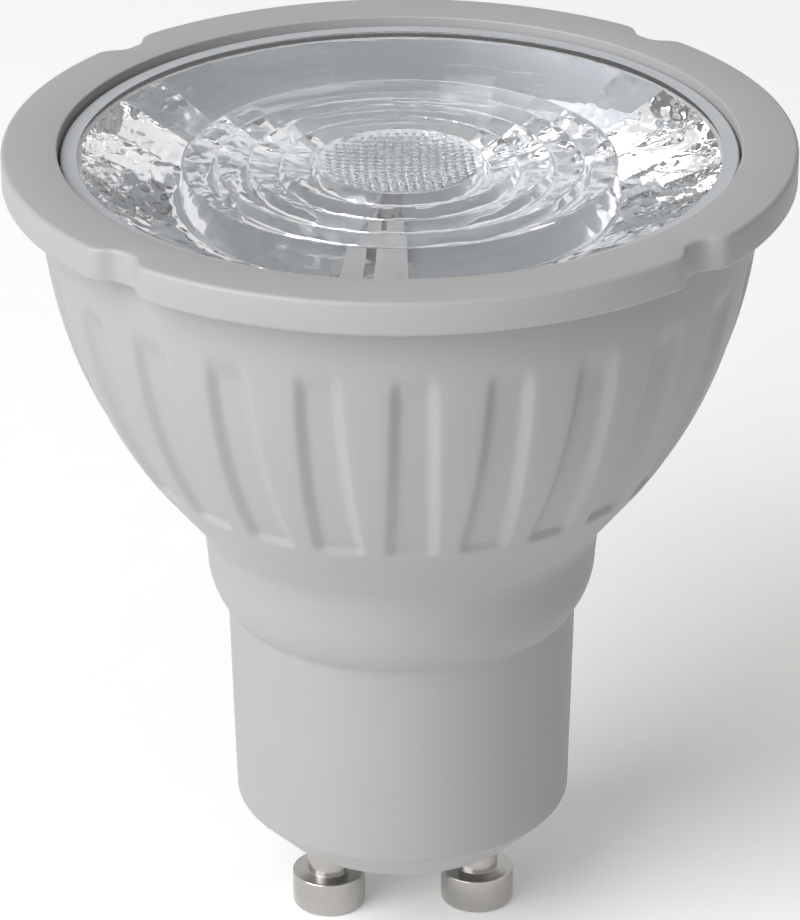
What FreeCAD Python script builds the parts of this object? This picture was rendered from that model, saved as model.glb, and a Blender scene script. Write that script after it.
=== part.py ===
# A spotlight bulb with two contact pins: fluted housing, faceted lens, light source and driver.
# Millimetres. The origin lies on the plane of the pin feet, midway between the pins. +Z runs up
# the bulb's axis to the lens, and the two pins stand on the X axis.
import FreeCAD
import Part
import Sketcher
import math
import os
from types import SimpleNamespace

SIZES = {
    # contact pins
    "pin_spacing": 10.0,
    "pin_reach": 6.9,
    "pin_foot_radius": 2.45,
    "pin_foot_height": 2.5,
    "pin_foot_chamfer": 0.12,
    "pin_foot_rounding": 0.3,
    "pin_neck_radius": 1.4,
    "pin_hole_clearance": 0.05,
    "rivet_head_overhang": 0.6,
    "rivet_head_height": 0.6,
    "crimp_wall": 0.6,
    "crimp_height": 1.4,
    # housing, from the base up to the rim
    "floor_thickness": 1.6,
    "housing_wall": 1.4,
    "base_radius": 11.37,
    "base_draft": 0.35,
    "base_height": 17.2,
    "base_chamfer": 2.45,
    "base_edge_rounding": 0.5,
    "collar_step": 1.13,
    "collar_curve": 3.4,
    "collar_draft": 0.25,
    "collar_height": 5.35,
    "collar_blend": 3.0,
    "cone_height": 4.45,
    "shoulder_radius": 16.45,
    "bowl_height": 19.35,
    "rim_radius": 25.0,
    "rim_face_width": 3.53,
    "rim_edge_rounding": 0.3,
    "flange_overhang": 2.27,
    "flange_thickness": 2.21,
    "flange_edge_rounding": 0.25,
    # flutes of the bowl
    "flute_count": 24,
    "flute_width": 2.4,
    "flute_depth": 0.5,
    "flute_start": 0.55,
    "flute_length": 15.4,
    "flute_runout": 2.0,
    # grip notches of the rim
    "notch_count": 4,
    "notch_depth": 1.0,
    "notch_floor_width": 1.4,
    "notch_rounding": 0.8,
    "notch_overshoot": 0.02,
    # ribs inside the bowl that carry the pan
    "rib_count": 6,
    "rib_width": 1.2,
    "rib_bearing": 2.6,
    "rib_height": 5.0,
    "rib_root": 0.4,
    # aluminium pan
    "pan_depth": 11.7,
    "pan_wall": 0.7,
    "pan_floor_thickness": 1.2,
    "pan_clearance": 0.15,
    # lens
    "lens_recess": 0.6,
    "lens_flange_thickness": 1.5,
    "lens_clearance": 0.17,
    "lens_plate_thickness": 2.6,
    "lens_centre_radius": 5.35,
    "lens_centre_sag": 1.2,
    "lens_ring_count": 4,
    "lens_ring_pitch": 2.1,
    "lens_ring_depth": 2.3,
    "lens_ring_draft": 0.2,
    "lens_ring_land": 0.15,
    "lens_edge_width": 0.25,
    "lens_facet_count": 30,
    "lens_outer_depth": 7.9,
    "lens_pan_gap": 0.3,
    # light source on the pan
    "led_board_radius": 10.5,
    "led_board_thickness": 1.0,
    "led_package_side": 7.0,
    "led_package_height": 0.7,
    "phosphor_radius": 2.9,
    "phosphor_depth": 0.4,
    "screw_spacing": 15.0,
    "screw_radius": 1.0,
    "screw_clearance": 0.05,
    "screw_head_radius": 1.9,
    "screw_head_height": 1.1,
    "screw_end": 0.6,
    # bush in the pan's floor that the light source's wires pass
    "bush_shift": 3.0,
    "bush_width": 7.0,
    "bush_depth": 2.6,
    "bush_height": 2.4,
    "bush_wall_gap": 0.16,
    "bush_neck_radius": 0.95,
    "bush_neck_clearance": 0.1,
    "bush_neck_end": 0.6,
    "bush_groove_width": 1.6,
    "bush_groove_depth": 1.2,
    "bush_wire_spacing": 4.0,
    "bush_wire_clearance": 0.1,
    # driver board and its guides in the base
    "board_stand": 4.3,
    "board_height": 20.0,
    "board_thickness": 1.2,
    "board_side_gap": 0.35,
    "board_corner_rounding": 0.8,
    "guide_grip": 1.3,
    "guide_wall": 0.9,
    "guide_height": 8.5,
    "guide_ledge": 1.0,
    "guide_clearance": 0.12,
    # electrolytic capacitors, leads and wires
    "input_can_radius": 4.0,
    "input_can_height": 11.5,
    "output_can_radius": 3.15,
    "output_can_height": 9.0,
    "can_edge_rounding": 0.5,
    "can_groove_depth": 0.3,
    "can_groove_height": 1.6,
    "can_board_gap": 0.1,
    "lead_radius": 0.3,
    "lead_bend": 0.7,
    "lead_drop": 1.0,
    "wire_radius": 0.45,
    "wire_bend": 1.0,
    "wire_spacing": 5.0,
    "wire_pad_offset": 6.6,
    "wire_pad_gap": 0.05,
    "wire_solder_length": 4.0,
    # choke, film capacitor and surface-mounted pieces
    "choke_radius": 4.0,
    "choke_height": 7.2,
    "choke_flange": 1.2,
    "choke_hub_radius": 2.0,
    "winding_inset": 0.4,
    "winding_clearance": 0.05,
    "film_width": 7.2,
    "film_height": 4.4,
    "film_depth": 3.4,
    "film_rounding": 0.7,
    "rectifier_length": 4.7,
    "rectifier_width": 3.9,
    "rectifier_height": 1.4,
    "rectifier_pitch": 2.5,
    "chip_length": 4.9,
    "chip_width": 3.9,
    "chip_height": 1.5,
    "chip_pitch": 1.27,
    "terminal_width": 0.4,
    "terminal_thickness": 0.2,
    "terminal_reach": 0.9,
    "resistor_radius": 1.15,
    "resistor_length": 5.6,
    "resistor_end_rounding": 0.45,
    "part_spacing": 0.8,
}

doc = FreeCAD.newDocument("spotlight_bulb")
sheet = doc.addObject("Spreadsheet::Sheet", "Sizes")
for row, (alias, number) in enumerate(SIZES.items(), start=1):
    sheet.set(f"A{row}", str(number))
    sheet.setAlias(f"A{row}", alias)
doc.recompute()


class Size:
    """A measure: the formula that the document keeps for it, and what it comes to now."""

    def __init__(self, formula, value):
        self.formula = formula
        self.value = value

    def __add__(self, other):
        other = measure(other)
        return Size(f"({self.formula} + {other.formula})", self.value + other.value)

    def __sub__(self, other):
        other = measure(other)
        return Size(f"({self.formula} - {other.formula})", self.value - other.value)

    def __mul__(self, other):
        other = measure(other)
        return Size(f"({self.formula} * {other.formula})", self.value * other.value)

    def __truediv__(self, other):
        other = measure(other)
        return Size(f"({self.formula} / {other.formula})", self.value / other.value)

    def __neg__(self):
        return Size(f"(-{self.formula})", -self.value)


def measure(number):
    """A plain number as a Size, and a Size as it is."""
    if isinstance(number, Size):
        return number
    return Size(str(number), float(number))


def square(size):
    return size * size


def root(size):
    return Size(f"sqrt({size.formula})", math.sqrt(size.value))


dim = SimpleNamespace(**{alias: Size(f"Sizes.{alias}", float(sheet.get(alias))) for alias in SIZES})

# Heights of the bulb's main steps, each on the one below.
base_bottom = dim.pin_reach
cavity_floor = base_bottom + dim.floor_thickness
collar_bottom = base_bottom + dim.base_height
cone_bottom = collar_bottom + dim.collar_height
shoulder = cone_bottom + dim.cone_height
flange_bottom = shoulder + dim.bowl_height
rim_top = flange_bottom + dim.flange_thickness
lens_top = rim_top - dim.lens_recess
lens_seat = lens_top - dim.lens_flange_thickness
pan_bottom = lens_seat - dim.pan_depth
pan_floor = pan_bottom + dim.pan_floor_thickness
led_face = pan_floor + dim.led_board_thickness
board_seat = cavity_floor + dim.board_stand
board_top = board_seat + dim.board_height

# The bowl is an arc that passes the shoulder and stands upright where it meets the flange.
base_foot_radius = dim.base_radius - dim.base_draft
collar_radius = dim.base_radius + dim.collar_step
mouth_radius = dim.rim_radius - dim.rim_face_width
bowl_top_radius = dim.rim_radius - dim.flange_overhang
bowl_widening = bowl_top_radius - dim.shoulder_radius
bowl_arc = (square(bowl_widening) + square(dim.bowl_height)) / (bowl_widening * 2)
bowl_inside_arc = bowl_arc - dim.housing_wall
pan_outside_arc = bowl_inside_arc - dim.pan_clearance
pan_inside_arc = pan_outside_arc - dim.pan_wall
board_face = dim.board_thickness / 2


def bowl_radius_at(height, arc):
    """Radius at a height of the surface that has this arc about the bowl's centre."""
    return bowl_top_radius - bowl_arc + root(square(arc) - square(flange_bottom - height))


class Corner:
    """A corner of an outline, rounded or sharp, with a straight or bent edge to the next corner.

    A bend is the arc's radius, to the left of the way along the outline, or to the right if
    clockwise is set.
    """

    def __init__(self, x, y, rounding=None, bend=None, clockwise=False):
        self.x = measure(x)
        self.y = measure(y)
        self.rounding = rounding
        self.bend = bend
        self.clockwise = clockwise
        self.point = FreeCAD.Vector(self.x.value, self.y.value, 0)


def bind(item, name, size):
    item.setExpression(name, measure(size).formula)


def constrain(sketch, size, *terms):
    """Adds a dimension to a sketch and ties it to its formula."""
    number = sketch.addConstraint(Sketcher.Constraint(*terms, size.value))
    if "Sizes." in size.formula:
        bind(sketch, f"Constraints[{number}]", size)


def pin_down(sketch, corner, geometry, end):
    constrain(sketch, corner.x, "DistanceX", -1, 1, geometry, end)
    constrain(sketch, corner.y, "DistanceY", -1, 1, geometry, end)


def add_arc(sketch, start, end, centre, clockwise):
    """Adds an arc and gives its number and the ends where the outline enters and leaves it."""
    first, last = (end, start) if clockwise else (start, end)
    from_angle = math.atan2(first.y - centre.y, first.x - centre.x)
    to_angle = math.atan2(last.y - centre.y, last.x - centre.x)
    if to_angle <= from_angle:
        to_angle += 2 * math.pi
    circle = Part.Circle(centre, FreeCAD.Vector(0, 0, 1), (start - centre).Length)
    number = sketch.addGeometry(Part.ArcOfCircle(circle, from_angle, to_angle))
    return (number, 2, 1) if clockwise else (number, 1, 2)


def draw_outline(sketch, corners):
    """Draws a closed outline through its corners, with every corner tied to its formula."""
    count = len(corners)
    entry = []
    leave = []
    for index, corner in enumerate(corners):
        if corner.rounding is None:
            entry.append(corner.point)
            leave.append(corner.point)
            continue
        back = (corners[index - 1].point - corner.point).normalize()
        ahead = (corners[(index + 1) % count].point - corner.point).normalize()
        tangent = corner.rounding.value / math.tan(back.getAngle(ahead) / 2)
        entry.append(corner.point + back * tangent)
        leave.append(corner.point + ahead * tangent)

    edges = []
    for index, corner in enumerate(corners):
        start = leave[index]
        end = entry[(index + 1) % count]
        if corner.bend is None:
            edges.append((sketch.addGeometry(Part.LineSegment(start, end)), 1, 2))
            continue
        chord = end - start
        side = FreeCAD.Vector(-chord.y, chord.x, 0).normalize()
        if corner.clockwise:
            side = -side
        rise = math.sqrt(corner.bend.value ** 2 - (chord.Length / 2) ** 2)
        centre = start + chord / 2 + side * rise
        edges.append(add_arc(sketch, start, end, centre, corner.clockwise))

    for index, corner in enumerate(corners):
        before, _, before_end = edges[index - 1]
        after, after_start, _ = edges[index]
        if corner.bend is not None:
            constrain(sketch, corner.bend, "Radius", after)
        if corner.rounding is None:
            sketch.addConstraint(Sketcher.Constraint("Coincident", before, before_end, after, after_start))
            pin_down(sketch, corner, after, after_start)
            continue
        back = entry[index] - corner.point
        ahead = leave[index] - corner.point
        middle = (back.normalize() + ahead.normalize()).normalize()
        half_angle = back.getAngle(ahead) / 2
        centre = corner.point + middle * (corner.rounding.value / math.sin(half_angle))
        turns_right = back.cross(ahead).z > 0
        arc, arc_start, arc_end = add_arc(sketch, entry[index], leave[index], centre, turns_right)
        sketch.addConstraint(Sketcher.Constraint("Tangent", before, before_end, arc, arc_start))
        sketch.addConstraint(Sketcher.Constraint("Tangent", arc, arc_end, after, after_start))
        constrain(sketch, corner.rounding, "Radius", arc)
        tip = sketch.addGeometry(Part.Point(corner.point), True)
        pin_down(sketch, corner, tip, 1)
        sketch.addConstraint(Sketcher.Constraint("PointOnObject", tip, 1, before))
        sketch.addConstraint(Sketcher.Constraint("PointOnObject", tip, 1, after))


def draw_circle(sketch, x, y, radius):
    centre = Corner(x, y)
    circle = Part.Circle(centre.point, FreeCAD.Vector(0, 0, 1), radius.value)
    number = sketch.addGeometry(circle)
    constrain(sketch, radius, "Radius", number)
    pin_down(sketch, centre, number, 3)


def rectangle(left, right, low, high):
    return [Corner(left, low), Corner(right, low), Corner(right, high), Corner(left, high)]


nodes = []


def keep(item, label):
    """Names a finished piece, which then gets a file of its own."""
    item.Label = label
    nodes.append(item)
    return item


def origin_feature(body, role):
    return next(feature for feature in body.Origin.OriginFeatures if feature.Role == role)


def new_body(name):
    return doc.addObject("PartDesign::Body", name)


def new_sketch(body, name, plane, height=0):
    sketch = body.newObject("Sketcher::SketchObject", name)
    sketch.AttachmentSupport = [(origin_feature(body, plane), "")]
    sketch.MapMode = "FlatFace"
    bind(sketch, "AttachmentOffset.Base.z", height)
    return sketch


def turn(body, name, corners):
    """Turns a half section about the body's upright axis."""
    sketch = new_sketch(body, f"{name}_section", "XZ_Plane")
    draw_outline(sketch, corners)
    feature = body.newObject("PartDesign::Revolution", name)
    feature.Profile = sketch
    feature.ReferenceAxis = (sketch, ["V_Axis"])
    feature.Angle = 360
    return feature


def extrude(body, name, kind, sketch, length, side="One side", reverse=False):
    feature = body.newObject(f"PartDesign::{kind}", name)
    feature.Profile = sketch
    feature.SideType = side
    feature.Reversed = reverse
    bind(feature, "Length", length)
    return feature


def repeat_round(body, name, feature, count):
    pattern = body.newObject("PartDesign::PolarPattern", name)
    pattern.Originals = [feature]
    pattern.Axis = (origin_feature(body, "Z_Axis"), [""])
    pattern.Angle = 360
    bind(pattern, "Occurrences", count)
    body.Tip = pattern
    return pattern


def place(item, x=0, y=0, z=0):
    for axis, where in zip("xyz", (x, y, z)):
        bind(item, f"Placement.Base.{axis}", where)
    return item


def cylinder(name, radius, low, high, x=0, y=0):
    rod = doc.addObject("Part::Cylinder", name)
    bind(rod, "Radius", radius)
    bind(rod, "Height", measure(high) - low)
    return place(rod, x, y, low)


def join(name, shapes):
    fuse = doc.addObject("Part::MultiFuse", name)
    fuse.Shapes = shapes
    fuse.Refine = True
    return fuse


def cut(name, base, tool):
    feature = doc.addObject("Part::Cut", name)
    feature.Base = base
    feature.Tool = tool
    return feature


def bent_rod(name, radius, bend, points):
    """A round rod along straight runs that are joined by tangent arcs of one radius."""
    spots = [FreeCAD.Vector(*(measure(term).value for term in point)) for point in points]
    edges = []
    start = spots[0]
    for before, corner, after in zip(spots, spots[1:], spots[2:]):
        back = (before - corner).normalize()
        ahead = (after - corner).normalize()
        half_angle = back.getAngle(ahead) / 2
        tangent = bend.value / math.tan(half_angle)
        middle = (back + ahead).normalize()
        arc_middle = corner + middle * (bend.value / math.sin(half_angle) - bend.value)
        arc_start = corner + back * tangent
        arc_end = corner + ahead * tangent
        edges.append(Part.LineSegment(start, arc_start).toShape())
        edges.append(Part.Arc(arc_start, arc_middle, arc_end).toShape())
        start = arc_end
    edges.append(Part.LineSegment(start, spots[-1]).toShape())
    path = Part.Wire(edges)
    ring = Part.Wire(Part.Circle(spots[0], spots[1] - spots[0], radius.value).toShape())
    rod = doc.addObject("Part::Feature", name)
    rod.Shape = path.makePipe(Part.Face(ring))
    rod.Placement = FreeCAD.Placement()
    return rod


# Housing: one moulding. The half section is turned, then the flutes and notches are cut, the
# ribs and board guides are added inside, and the floor is pierced for the pins.
housing = new_body("housing")
collar_arc = (square(dim.collar_step) + square(dim.collar_curve)) / (dim.collar_step * 2)
collar_curve_top = collar_bottom + dim.collar_curve
collar_top_radius = collar_radius + dim.collar_draft
chamfer_inset = dim.housing_wall * math.sqrt(2)
cavity_chamfer_top = base_bottom + dim.base_chamfer + chamfer_inset - dim.housing_wall
bowl_inside_foot = bowl_radius_at(shoulder, bowl_inside_arc)
bowl_inside_top = bowl_radius_at(lens_seat, bowl_inside_arc)
turn(housing, "shell", [
    Corner(0, base_bottom),
    Corner(base_foot_radius - dim.base_chamfer, base_bottom, rounding=dim.base_edge_rounding),
    Corner(base_foot_radius, base_bottom + dim.base_chamfer, rounding=dim.base_edge_rounding),
    Corner(dim.base_radius, collar_bottom, bend=collar_arc),
    Corner(collar_radius, collar_curve_top),
    Corner(collar_top_radius, cone_bottom, rounding=dim.collar_blend),
    Corner(dim.shoulder_radius, shoulder, bend=bowl_arc),
    Corner(bowl_top_radius, flange_bottom),
    Corner(dim.rim_radius, flange_bottom, rounding=dim.flange_edge_rounding),
    Corner(dim.rim_radius, rim_top, rounding=dim.rim_edge_rounding),
    Corner(mouth_radius, rim_top),
    Corner(mouth_radius, lens_seat),
    Corner(bowl_inside_top, lens_seat, bend=bowl_inside_arc, clockwise=True),
    Corner(bowl_inside_foot, shoulder),
    Corner(collar_top_radius - dim.housing_wall, cone_bottom),
    Corner(collar_radius - dim.housing_wall, collar_curve_top),
    Corner(dim.base_radius - dim.housing_wall, collar_bottom),
    Corner(base_foot_radius - dim.housing_wall, cavity_chamfer_top),
    Corner(base_foot_radius - dim.base_chamfer + dim.floor_thickness - chamfer_inset, cavity_floor),
    Corner(0, cavity_floor),
])

flute_foot = shoulder + dim.flute_start
flute_top = flute_foot + dim.flute_length
runout_start = flute_top - dim.flute_runout
flute_arc = bowl_arc - dim.flute_depth
flute_outside = bowl_radius_at(flute_top, bowl_arc) + dim.flute_depth
flute_sketch = new_sketch(housing, "flute_section", "XZ_Plane")
draw_outline(flute_sketch, [
    Corner(bowl_radius_at(flute_foot, flute_arc), flute_foot, bend=flute_arc),
    Corner(bowl_radius_at(runout_start, flute_arc), runout_start),
    Corner(bowl_radius_at(flute_top, bowl_arc), flute_top),
    Corner(flute_outside, flute_top),
    Corner(flute_outside, flute_foot),
])
flute = extrude(housing, "flute", "Pocket", flute_sketch, dim.flute_width, side="Symmetric")
repeat_round(housing, "flutes", flute, dim.flute_count)


def draw_notch(sketch):
    """Half-round lips run from just outside the rim into rounded corners and a floor that follows it."""
    floor_radius = dim.rim_radius - dim.notch_depth
    lip_radius = dim.rim_radius + dim.notch_overshoot
    rounding = dim.notch_rounding.value
    inner = floor_radius.value + rounding
    outer = lip_radius.value - rounding
    floor_angle = math.asin(dim.notch_floor_width.value / 2 / floor_radius.value)
    between = (inner ** 2 + outer ** 2 - (2 * rounding) ** 2) / (2 * inner * outer)
    lip_angle = floor_angle + math.acos(between)
    origin = FreeCAD.Vector(0, 0, 0)

    def polar(radius, angle):
        return FreeCAD.Vector(radius * math.sin(angle), radius * math.cos(angle), 0)

    floor_ends = [polar(floor_radius.value, -floor_angle), polar(floor_radius.value, floor_angle)]
    corner_centres = [polar(inner, -floor_angle), polar(inner, floor_angle)]
    lip_centres = [polar(outer, -lip_angle), polar(outer, lip_angle)]
    meetings = [(corner + lip) / 2 for corner, lip in zip(corner_centres, lip_centres)]
    lip_ends = [polar(lip_radius.value, -lip_angle), polar(lip_radius.value, lip_angle)]
    beyond = lip_radius + dim.notch_depth
    far = [FreeCAD.Vector(end.x, beyond.value, 0) for end in lip_ends]

    floor, floor_left, floor_right = add_arc(sketch, floor_ends[0], floor_ends[1], origin, True)
    right_corner = add_arc(sketch, floor_ends[1], meetings[1], corner_centres[1], False)
    right_lip = add_arc(sketch, meetings[1], lip_ends[1], lip_centres[1], True)
    right_side = (sketch.addGeometry(Part.LineSegment(lip_ends[1], far[1])), 1, 2)
    back = (sketch.addGeometry(Part.LineSegment(far[1], far[0])), 1, 2)
    left_side = (sketch.addGeometry(Part.LineSegment(far[0], lip_ends[0])), 1, 2)
    left_lip = add_arc(sketch, lip_ends[0], meetings[0], lip_centres[0], True)
    left_corner = add_arc(sketch, meetings[0], floor_ends[0], corner_centres[0], False)
    reach = sketch.addGeometry(Part.Circle(origin, FreeCAD.Vector(0, 0, 1), lip_radius.value), True)

    sketch.addConstraint(Sketcher.Constraint("Coincident", floor, 3, -1, 1))
    sketch.addConstraint(Sketcher.Constraint("Coincident", reach, 3, -1, 1))
    constrain(sketch, floor_radius, "Radius", floor)
    constrain(sketch, lip_radius, "Radius", reach)
    constrain(sketch, -dim.notch_floor_width / 2, "DistanceX", -1, 1, floor, floor_left)
    constrain(sketch, dim.notch_floor_width / 2, "DistanceX", -1, 1, floor, floor_right)
    sides = ((right_corner, right_lip, floor_right), (left_corner, left_lip, floor_left))
    for (corner, corner_first, corner_last), (lip, lip_first, lip_last), floor_end in sides:
        is_right = floor_end == floor_right
        at_floor, at_lip = (corner_first, corner_last) if is_right else (corner_last, corner_first)
        lip_near, lip_far = (lip_first, lip_last) if is_right else (lip_last, lip_first)
        side, side_end = (right_side[0], 1) if is_right else (left_side[0], 2)
        sketch.addConstraint(Sketcher.Constraint("Tangent", floor, floor_end, corner, at_floor))
        sketch.addConstraint(Sketcher.Constraint("Tangent", corner, at_lip, lip, lip_near))
        sketch.addConstraint(Sketcher.Constraint("Tangent", lip, lip_far, reach))
        sketch.addConstraint(Sketcher.Constraint("Coincident", lip, lip_far, side, side_end))
        sketch.addConstraint(Sketcher.Constraint("Vertical", side))
        constrain(sketch, dim.notch_rounding, "Radius", corner)
        constrain(sketch, dim.notch_rounding, "Radius", lip)
    sketch.addConstraint(Sketcher.Constraint("Coincident", right_side[0], 2, back[0], 1))
    sketch.addConstraint(Sketcher.Constraint("Coincident", back[0], 2, left_side[0], 1))
    sketch.addConstraint(Sketcher.Constraint("Horizontal", back[0]))
    constrain(sketch, beyond, "DistanceY", -1, 1, back[0], 1)


NOTCH_TURN = 45
notch_sketch = new_sketch(housing, "notch_outline", "XY_Plane", flange_bottom)
notch_sketch.AttachmentOffset = FreeCAD.Placement(
    FreeCAD.Vector(0, 0, 0), FreeCAD.Rotation(FreeCAD.Vector(0, 0, 1), NOTCH_TURN))
bind(notch_sketch, "AttachmentOffset.Base.z", flange_bottom)
draw_notch(notch_sketch)
notch = extrude(housing, "notch", "Pocket", notch_sketch, dim.flange_thickness, reverse=True)
repeat_round(housing, "notches", notch, dim.notch_count)

rib_arc = bowl_inside_arc + dim.rib_root
rib_bottom = pan_bottom - dim.rib_height
rib_outside = bowl_radius_at(pan_bottom, rib_arc)
rib_sketch = new_sketch(housing, "rib_section", "XZ_Plane")
draw_outline(rib_sketch, [
    Corner(rib_outside - dim.rib_bearing, pan_bottom),
    Corner(bowl_radius_at(rib_bottom, rib_arc), rib_bottom, bend=rib_arc),
    Corner(rib_outside, pan_bottom),
])
rib = extrude(housing, "rib", "Pad", rib_sketch, dim.rib_width, side="Symmetric")
repeat_round(housing, "ribs", rib, dim.rib_count)

board_half_width = base_foot_radius - dim.housing_wall - dim.board_side_gap
slot_half_width = board_face + dim.guide_clearance
guide_inside = board_half_width - dim.guide_grip
guide_outside = base_foot_radius - dim.housing_wall / 2
guide_half_width = slot_half_width + dim.guide_wall
slot_end = board_half_width + dim.guide_clearance
guide_sketch = new_sketch(housing, "guide_outline", "XY_Plane", board_seat - dim.guide_ledge)
draw_outline(guide_sketch, rectangle(guide_inside, guide_outside, -guide_half_width, guide_half_width))
draw_outline(guide_sketch, rectangle(-guide_outside, -guide_inside, -guide_half_width, guide_half_width))
extrude(housing, "guides", "Pad", guide_sketch, dim.guide_height + dim.guide_ledge)
slot_sketch = new_sketch(housing, "slot_outline", "XY_Plane", board_seat)
draw_outline(slot_sketch, rectangle(-slot_end, slot_end, -slot_half_width, slot_half_width))
extrude(housing, "slots", "Pocket", slot_sketch, dim.guide_height, reverse=True)

pin_offset = dim.pin_spacing / 2
pin_hole_sketch = new_sketch(housing, "pin_hole_outline", "XY_Plane", base_bottom)
draw_circle(pin_hole_sketch, -pin_offset, 0, dim.pin_neck_radius + dim.pin_hole_clearance)
draw_circle(pin_hole_sketch, pin_offset, 0, dim.pin_neck_radius + dim.pin_hole_clearance)
extrude(housing, "pin_holes", "Pocket", pin_hole_sketch, dim.floor_thickness, reverse=True)
keep(housing, "housing")


# Contact pins: turned brass, plated. The wide foot stays below the base, the neck passes the
# floor, a rivet head holds it inside and a hollow end takes the lead.
rivet_top = cavity_floor + dim.rivet_head_height
crimp_top = rivet_top + dim.crimp_height
crimp_bore = dim.lead_radius + dim.winding_clearance


def make_pin(name, x):
    pin = new_body(name)
    foot_top = dim.pin_foot_height
    turn(pin, f"{name}_turned", [
        Corner(0, 0),
        Corner(dim.pin_foot_radius, 0, rounding=dim.pin_foot_rounding),
        Corner(dim.pin_foot_radius, foot_top - dim.pin_foot_chamfer),
        Corner(dim.pin_foot_radius - dim.pin_foot_chamfer, foot_top),
        Corner(dim.pin_neck_radius, foot_top),
        Corner(dim.pin_neck_radius, cavity_floor),
        Corner(dim.pin_neck_radius + dim.rivet_head_overhang, cavity_floor),
        Corner(dim.pin_neck_radius + dim.rivet_head_overhang, rivet_top),
        Corner(crimp_bore + dim.crimp_wall, rivet_top),
        Corner(crimp_bore + dim.crimp_wall, crimp_top),
        Corner(crimp_bore, crimp_top),
        Corner(crimp_bore, rivet_top),
        Corner(0, rivet_top),
    ])
    place(pin, x=x)
    keep(pin, name)


make_pin("contact_pin_left", -pin_offset)
make_pin("contact_pin_right", pin_offset)


# Pan: pressed aluminium, seated on the ribs. It carries the light source, and its rim the lens.
screw_offset = dim.screw_spacing / 2
screw_hole_radius = dim.screw_radius + dim.screw_clearance
pan_floor_radius = bowl_radius_at(pan_floor, pan_inside_arc)
bush_middle = -dim.bush_shift
bush_corner = dim.bush_shift + dim.bush_width / 2
bush_reach = root(square(pan_floor_radius) - square(bush_corner)) - dim.bush_wall_gap
bush_offset = bush_reach - dim.bush_depth / 2
bush_wires = [bush_middle - dim.bush_wire_spacing / 2, bush_middle + dim.bush_wire_spacing / 2]


def draw_screw_holes(sketch):
    for side in (-1, 1):
        draw_circle(sketch, screw_offset * side, 0, screw_hole_radius)


pan = new_body("heat_sink_pan")
turn(pan, "pan_pressing", [
    Corner(0, pan_bottom),
    Corner(bowl_radius_at(pan_bottom, pan_outside_arc), pan_bottom, bend=pan_outside_arc),
    Corner(bowl_radius_at(lens_seat, pan_outside_arc), lens_seat),
    Corner(bowl_radius_at(lens_seat, pan_inside_arc), lens_seat, bend=pan_inside_arc, clockwise=True),
    Corner(pan_floor_radius, pan_floor),
    Corner(0, pan_floor),
])
pan_hole_sketch = new_sketch(pan, "pan_hole_outline", "XY_Plane", pan_bottom)
draw_screw_holes(pan_hole_sketch)
neck_hole_radius = dim.bush_neck_radius + dim.bush_neck_clearance
for bush_wire in bush_wires:
    draw_circle(pan_hole_sketch, bush_wire, -bush_offset, neck_hole_radius)
extrude(pan, "pan_holes", "Pocket", pan_hole_sketch, dim.pan_floor_thickness, reverse=True)
keep(pan, "heat_sink_pan")


# Light source: an aluminium-core board, a white carrier with a round recess, and its pale fill.
led_board = new_body("led_board")
led_board_sketch = new_sketch(led_board, "led_board_outline", "XY_Plane", pan_floor)
draw_circle(led_board_sketch, 0, 0, dim.led_board_radius)
draw_screw_holes(led_board_sketch)
extrude(led_board, "led_board_plate", "Pad", led_board_sketch, dim.led_board_thickness)
keep(led_board, "led_board")

package_top = led_face + dim.led_package_height
package_half = dim.led_package_side / 2
package = new_body("led_package")
package_sketch = new_sketch(package, "package_outline", "XY_Plane", led_face)
draw_outline(package_sketch, rectangle(-package_half, package_half, -package_half, package_half))
extrude(package, "package_plate", "Pad", package_sketch, dim.led_package_height)
recess_sketch = new_sketch(package, "recess_outline", "XY_Plane", package_top)
draw_circle(recess_sketch, 0, 0, dim.phosphor_radius)
extrude(package, "package_recess", "Pocket", recess_sketch, dim.phosphor_depth)
keep(package, "led_package")
phosphor = cylinder("phosphor", dim.phosphor_radius, package_top - dim.phosphor_depth, package_top)
keep(phosphor, "led_phosphor")


def make_screw(name, x):
    screw = new_body(name)
    turn(screw, f"{name}_turned", [
        Corner(0, pan_bottom - dim.screw_end),
        Corner(dim.screw_radius, pan_bottom - dim.screw_end),
        Corner(dim.screw_radius, led_face),
        Corner(dim.screw_head_radius, led_face),
        Corner(dim.screw_head_radius, led_face + dim.screw_head_height / 2),
        Corner(dim.screw_head_radius / 2, led_face + dim.screw_head_height),
        Corner(0, led_face + dim.screw_head_height),
    ])
    return place(screw, x=x)


screws = doc.addObject("Part::Compound", "screws")
screws.Links = [make_screw("left_screw", -screw_offset), make_screw("right_screw", screw_offset)]
keep(screws, "board_screws")


# Bush: white nylon block pressed into the pan's floor by two hollow necks. Each wire comes up a
# neck, turns in a slot and leaves towards the light source's board.
wire_level = led_face + dim.wire_radius + dim.wire_pad_gap
wire_room = dim.wire_radius + dim.bush_wire_clearance
bush_top = pan_floor + dim.bush_height
bush_front = -bush_reach
bush_back = -bush_reach + dim.bush_depth
neck_bottom = pan_bottom - dim.bush_neck_end
bush = new_body("lead_bush")
block_sketch = new_sketch(bush, "bush_outline", "XY_Plane", pan_floor)
bush_left = bush_middle - dim.bush_width / 2
bush_right = bush_middle + dim.bush_width / 2
draw_outline(block_sketch, rectangle(bush_left, bush_right, bush_front, bush_back))
extrude(bush, "bush_block", "Pad", block_sketch, dim.bush_height)
neck_sketch = new_sketch(bush, "neck_outline", "XY_Plane", neck_bottom)
bore_sketch = new_sketch(bush, "bore_outline", "XY_Plane", neck_bottom)
channel_sketch = new_sketch(bush, "channel_outline", "XY_Plane", pan_floor)
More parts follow.
